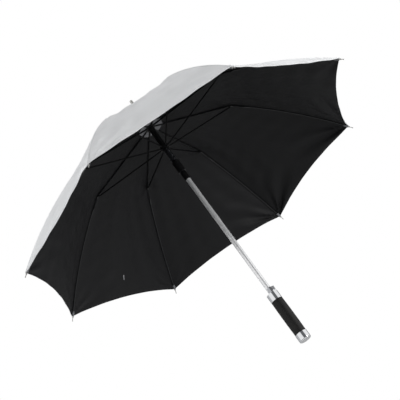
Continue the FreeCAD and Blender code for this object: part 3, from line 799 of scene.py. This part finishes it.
# %% Rosette
ROSETTE_INNER, ROSETTE_OUTER = 0.0035, 0.0275
ROSETTE_LIFT = 0.0022
ROSETTE_CLOTH = 0.0004
for rib in range(RIBS):
    for side in (1, -1):
        along = np.linspace(ROSETTE_INNER, ROSETTE_OUTER, 12)[:, None] + np.zeros((1, 10))
        share = np.linspace(0, 1, 10)[None, :] + np.zeros((12, 1))
        wave = 0.0005 * np.sin(7 * share + 3 * rib) * smooth((along - 0.006) / 0.02)
        points, width = half_gore(rib, side, along, share, ROSETTE_LIFT + wave)
        normal = grid_normals(points)
        over = points + normal * ROSETTE_CLOTH / 2
        under = points - normal * ROSETTE_CLOTH / 2
        cloth = np.stack([side * share * width, along], -1)
        name = f"rosette_{rib + 1}_{SIDE_NAME[side]}"
        piece = sheet_mesh(name, over, under, normal, {"cloth": cloth},
                           "grey_rosette_cloth", "grey_rosette_cloth")
        fold_with_rib(piece, rib, "rib")
        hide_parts("rosette")
        area = cloth_area(points)
print("rosette pieces", 2 * RIBS)

# %% [markdown]
# The closing strap is a doubled strip of the canopy's own cloth, stitched round its edge and
# sewn on at its upper end. A patch of hook tape at the free end fastens it round the rolled
# umbrella. It lies on the outside of one gore, and folds up with it.

# %% Closing strap
STRAP_RIB, STRAP_SIDE = 6, -1
STRAP_WIDTH, STRAP_LENGTH, STRAP_THICK = 0.016, 0.110, 0.0013
STRAP_FROM_MIDDLE, STRAP_FROM_HEM = 0.014, 0.070
TAPE_WIDTH, TAPE_LENGTH, TAPE_FROM_END = 0.011, 0.021, 0.003


def strip_on_gore(start, end, from_middle, width, thick, lift, rows, columns):
    """A strip along a gore: its two sides, normals and cloth coordinates."""
    along = np.linspace(start, end, rows)[:, None] + np.zeros((1, columns))
    aside = from_middle + np.linspace(-width / 2, width / 2, columns)[None, :] + np.zeros((rows, 1))
    half = over_rib(along, 0)[0] * math.sin(HALF)
    share = 1 - aside / half
    points, _ = half_gore(STRAP_RIB, STRAP_SIDE, along, share, CLOTH_LIFT + lift)
    normal = grid_normals(points)
    wave = 0.0007 * np.sin((along - start) * 2 * math.pi / 0.055)
    edge = np.minimum(np.abs(aside - from_middle + width / 2), np.abs(aside - from_middle - width / 2))
    stitch_line = 0.00035 * np.exp(-((edge - 0.002) / 0.0007) ** 2)
    middle = points + normal * wave[..., None]
    over = middle + normal * (thick / 2 - stitch_line)[..., None]
    under = middle - normal * thick / 2
    return over, under, normal, np.stack([aside, along], -1)


strap_end = CANOPY_END - HEM_RECESS - STRAP_FROM_HEM
strap_start = strap_end - STRAP_LENGTH
over, under, normal, cloth = strip_on_gore(strap_start, strap_end, STRAP_FROM_MIDDLE, STRAP_WIDTH,
                                           STRAP_THICK, 0.0024, 60, 17)
strap = sheet_mesh("strap", over, under, normal, {"cloth": cloth},
                   "silver_coated_polyester", "silver_coated_polyester")
tape_end = strap_end - TAPE_FROM_END
over, under, normal, cloth = strip_on_gore(tape_end - TAPE_LENGTH, tape_end, STRAP_FROM_MIDDLE,
                                           TAPE_WIDTH, 0.0008, 0.0034, 14, 9)
tape = sheet_mesh("strap_hook_tape", over, under, normal, {"cloth": cloth},
                  "black_hook_tape", "black_hook_tape")
for piece in (strap, tape):
    fold_with_rib(piece, STRAP_RIB, "outer")
    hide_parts("tie_strap")
print("strap", STRAP_LENGTH, "m long")

# %% [markdown]
# Each corner of the canopy is doubled with a small tab of grey tape, which wraps the rib's metal
# end and takes the pull. It is bent round the rib as part of a tube, and rides on the outer rib.

# %% Corner tabs
TAB_WIDTH, TAB_LENGTH = 0.011, 0.014
TAB_RADIUS = 0.0034
TAB_THICK = 0.0004


def on_rod(along, angle, radius, rib):
    """Points on a tube round the outer rib; angle is 0 below it."""
    slope = first_slope + (along - BEND_AT) / arc_radius
    r = arc_centre[0] + arc_radius * np.sin(slope)
    z = arc_centre[1] + arc_radius * np.cos(slope)
    down = -radius * np.cos(angle)
    return spun(r + down * np.sin(slope), radius * np.sin(angle), z + down * np.cos(slope), rib)


for rib in range(RIBS):
    reach = TAB_WIDTH / TAB_RADIUS / 2
    end = CANOPY_END - 0.001
    along = np.linspace(end - TAB_LENGTH, end, 9)[:, None] + np.zeros((1, 15))
    angle = np.linspace(-reach, reach, 15)[None, :] + np.zeros((9, 1))
    over = on_rod(along, angle, TAB_RADIUS + TAB_THICK / 2, rib)
    under = on_rod(along, angle, TAB_RADIUS - TAB_THICK / 2, rib)
    normal = (over - under) / np.linalg.norm(over - under, axis=-1, keepdims=True)
    cloth = np.stack([angle * TAB_RADIUS, along], -1)
    tab = sheet_mesh(f"corner_tab_{rib + 1}", over, under, normal, {"cloth": cloth},
                     "grey_rosette_cloth", "grey_rosette_cloth")
    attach(tab, f"outer_{rib + 1}")
print("corner tabs", RIBS)

# %% [markdown]
# A short bar of thread, the bartack, is where the strap is sewn through the gore. Inside, on the
# black cloth, it shows as a pale mark. It is a thin strip of its own in the thread's finish.

# %% Bartack
BARTACK_LENGTH, BARTACK_WIDTH = 0.016, 0.0018
start = CANOPY_END - HEM_RECESS - STRAP_FROM_HEM
over, under, normal, cloth = strip_on_gore(start, start + BARTACK_LENGTH, 0.0025, BARTACK_WIDTH, 0.0006,
                                           -0.0011, 12, 5)
bartack = sheet_mesh("bartack", over, under, normal, {"cloth": cloth},
                     "grey_sewing_thread", "grey_sewing_thread")
fold_with_rib(bartack, STRAP_RIB, "outer")
print("bartack", BARTACK_LENGTH, "m long")

# %% [markdown]
# A short coil pushes the button out of the collar. Pressing the button closes the coil against the shaft.
# Here the coil only gets a mesh of its own and keeps its shape.

# %% The button's spring gets its own mesh
spring = bpy.data.objects["button_spring"]
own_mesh(spring)

# %% [markdown]
# Last comes the size of the box round everything that is shown.

# %% Print the sizes
low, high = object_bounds()
print("visual box", list(low), list(high))
